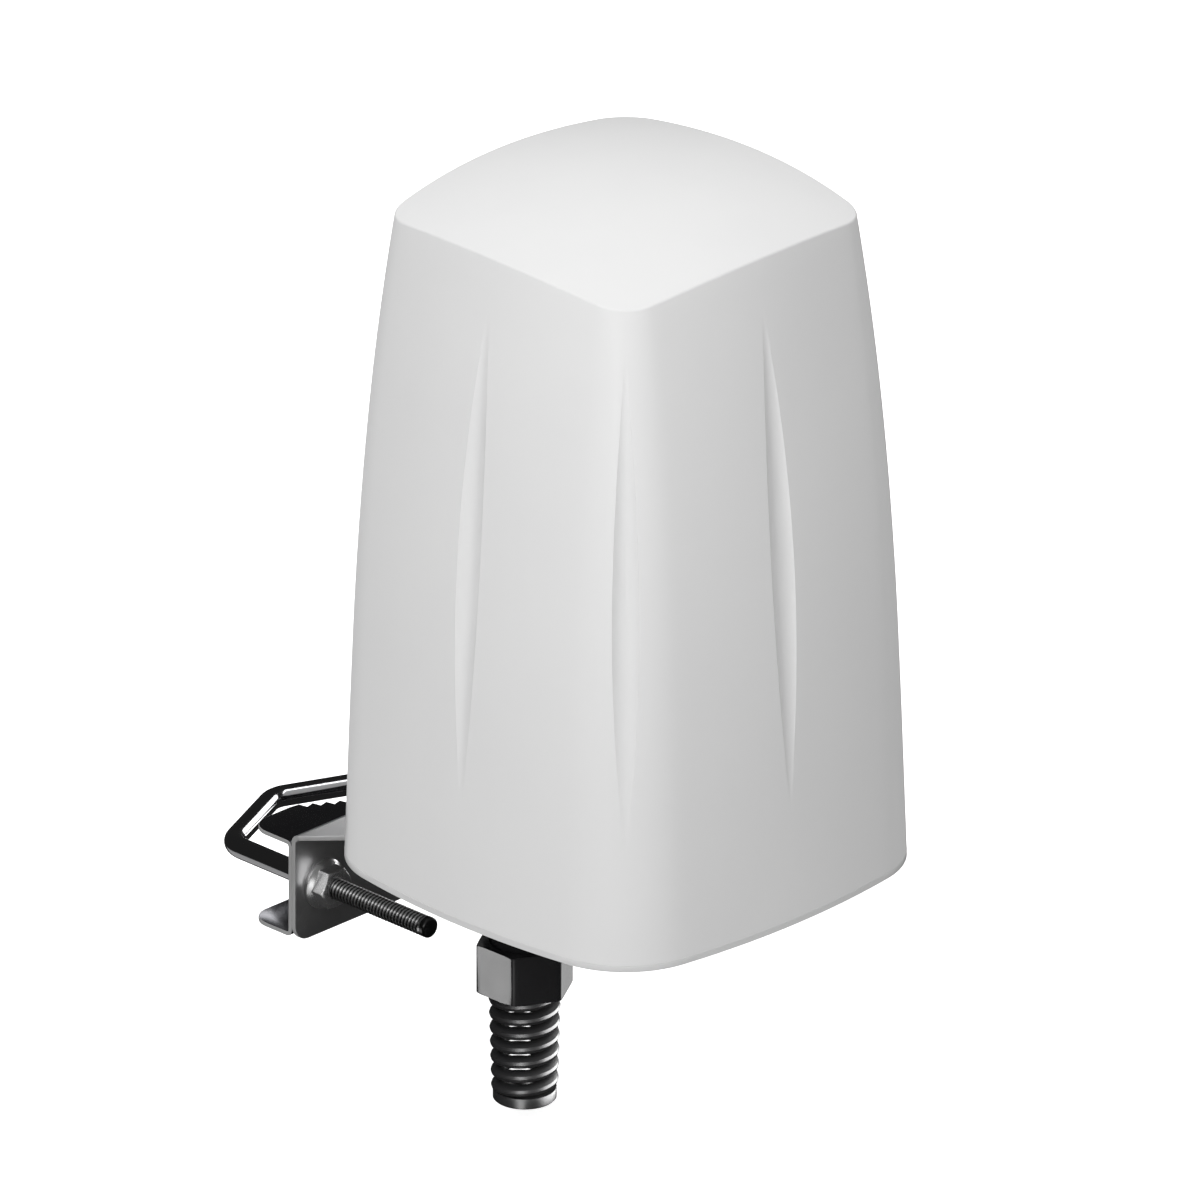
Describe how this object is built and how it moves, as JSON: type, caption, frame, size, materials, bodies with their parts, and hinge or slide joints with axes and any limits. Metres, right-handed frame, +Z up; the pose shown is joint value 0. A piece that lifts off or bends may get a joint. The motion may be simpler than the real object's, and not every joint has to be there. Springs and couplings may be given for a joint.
{
  "type": "omnidirectional antenna",
  "caption": "Outdoor omnidirectional antenna: tall domed square radome on a base plate, toothed V-bolt mast clamp, screwed cable gland with a spiral bend relief.",
  "frame": {"origin": "on the axis of the mast that the clamp holds, level with the legs of the V-bolt", "axes": "+Z up along the mast and the antenna, -Y from the mast towards the antenna head, +X to the right seen from the antenna's front"},
  "size_m": [0.136, 0.2127, 0.2802],
  "materials": {
    "radome_plastic": "satin",
    "base_plastic": "satin",
    "seal_rubber": "matte",
    "screw_steel": "satin",
    "sheet_steel": "satin",
    "polished_steel": "polished",
    "brass": "satin",
    "black_nylon": "semi-gloss",
    "vent_nylon": "matte",
    "membrane": "matte",
    "aluminium": "brushed",
    "grey_nylon": "matte",
    "circuit_board": "satin",
    "copper": "polished",
    "coax_jacket": "satin",
    "tinned_steel": "satin"
  },
  "bodies": {
    "antenna": {"arm_screws": "screw_steel", "arm_washers": "screw_steel", "base_plate": "base_plastic", "base_screws": "screw_steel", "board_screws": "screw_steel", "board_spacers": "grey_nylon", "clamp_jaw": "sheet_steel", "column_cap": "grey_nylon", "column_screws": "screw_steel", "element_board_back": "circuit_board", "element_board_front": "circuit_board", "element_board_left": "circuit_board", "element_board_right": "circuit_board", "element_jacks": "brass", "feed_board": "circuit_board", "feed_jacks": "brass", "feed_screws": "screw_steel", "gland_body": "black_nylon", "gland_locknut": "black_nylon", "gland_seal": "seal_rubber", "gland_washer": "seal_rubber", "lead_socket": "brass", "mounting_arm": "sheet_steel", "pigtail_back": "coax_jacket", "pigtail_front": "coax_jacket", "pigtail_left": "coax_jacket", "pigtail_right": "coax_jacket", "radiator_back": "copper", "radiator_front": "copper", "radiator_left": "copper", "radiator_right": "copper", "radome": "radome_plastic", "reflector_column": "aluminium", "rim_gasket": "seal_rubber", "shield_can": "tinned_steel", "threaded_inserts": "brass", "vent_membrane": "membrane", "vent_nut": "vent_nylon", "vent_plug": "vent_nylon", "vent_seal": "seal_rubber"},
    "bolt": {"v_bolt": "polished_steel"},
    "nut_left": {"flange_nut_left": "polished_steel"},
    "nut_right": {"flange_nut_right": "polished_steel"},
    "thrust_ring": {"gland_thrust_ring": "black_nylon"},
    "cap_nut": {"gland_nut": "black_nylon"}
  },
  "joints": [
    {"name": "bolt_slide", "type": "slide", "parent": "antenna", "child": "bolt", "axis": [0, 1, 0], "range_m": [-0.009, 0.019]},
    {"name": "nut_left_spin", "type": "hinge", "parent": "antenna", "child": "nut_left", "pos_m": [-0.031, -0.02985, 0], "axis": [0, -1, 0], "range_deg": [-2560, 5400]},
    {"name": "nut_right_spin", "type": "hinge", "parent": "antenna", "child": "nut_right", "pos_m": [0.031, -0.02985, 0], "axis": [0, -1, 0], "range_deg": [-2560, 5400]},
    {"name": "gland_slide", "type": "slide", "parent": "antenna", "child": "thrust_ring", "axis": [0, 0, 1], "range_m": [-0.0038, 0.0023]},
    {"name": "gland_nut_spin", "type": "hinge", "parent": "thrust_ring", "child": "cap_nut", "pos_m": [-0.03, -0.10745, 0.0008], "axis": [0, 0, 1], "range_deg": [-900, 540]}
  ],
  "couplings": [
    {"joint": "nut_left_spin", "follows": "bolt_slide", "rad_per_m": 4947.4},
    {"joint": "nut_right_spin", "follows": "bolt_slide", "rad_per_m": 4947.4},
    {"joint": "gland_slide", "follows": "gland_nut_spin", "m_per_rad": 0.00023873}
  ]
}
